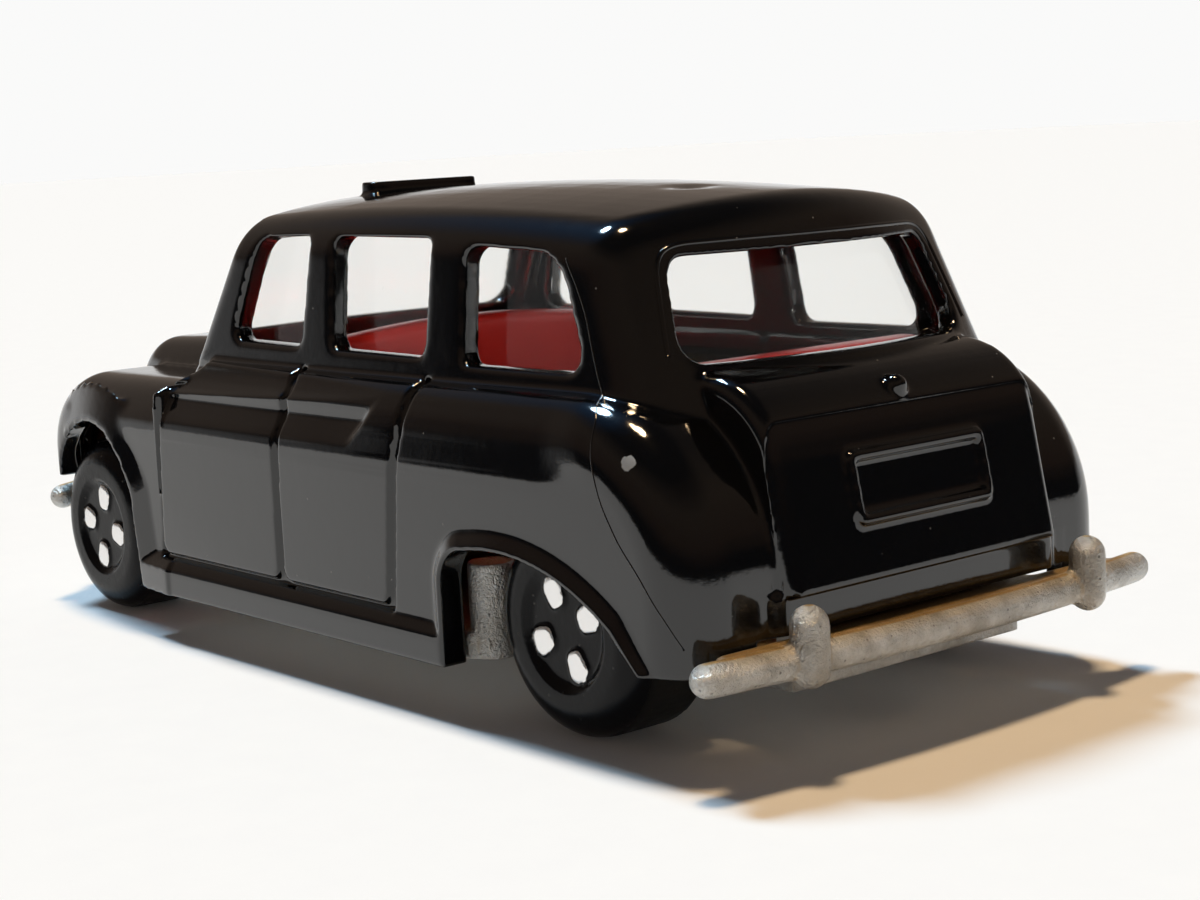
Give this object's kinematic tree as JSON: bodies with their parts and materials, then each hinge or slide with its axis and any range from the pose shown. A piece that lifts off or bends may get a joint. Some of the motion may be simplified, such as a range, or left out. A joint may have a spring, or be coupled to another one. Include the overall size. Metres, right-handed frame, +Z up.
{
  "type": "die-cast toy taxi cab",
  "caption": "Small die-cast toy taxi with a tall rounded cabin, flowing wings, roof sign, clear glazing, a bumpered metal base and free-rolling wheelsets.",
  "frame": {"origin": "on the ground under the middle of the car, midway between the bumpers", "axes": "+X forward, +Y to the car's left, +Z up"},
  "size_m": [0.065, 0.0284, 0.024],
  "materials": {
    "body_paint": "thick gloss black enamel on a zinc casting",
    "base_metal": "bare zinc casting, dull and lightly tarnished",
    "clear_plastic": "clear moulded plastic, a little scratched",
    "red_plastic": "moulded red plastic",
    "axle_steel": "drawn wire",
    "wheel_plastic": "moulded black plastic with silver foil on the hub pads"
  },
  "bodies": {
    "chassis": {"body_shell": "body_paint", "base_plate": "base_metal", "glazing": "clear_plastic", "interior_tray": "red_plastic"},
    "front_wheelset": {"front_axle": "axle_steel", "wheel_front_left": "wheel_plastic", "wheel_front_right": "wheel_plastic"},
    "rear_wheelset": {"rear_axle": "axle_steel", "wheel_rear_left": "wheel_plastic", "wheel_rear_right": "wheel_plastic"}
  },
  "joints": [
    {"name": "front_axle_spin", "type": "hinge", "parent": "chassis", "child": "front_wheelset", "pos_m": [0.0225, 0, 0.00495], "axis": [0, 1, 0], "continuous": true},
    {"name": "rear_axle_spin", "type": "hinge", "parent": "chassis", "child": "rear_wheelset", "pos_m": [-0.0201, 0, 0.00495], "axis": [0, 1, 0], "continuous": true}
  ]
}
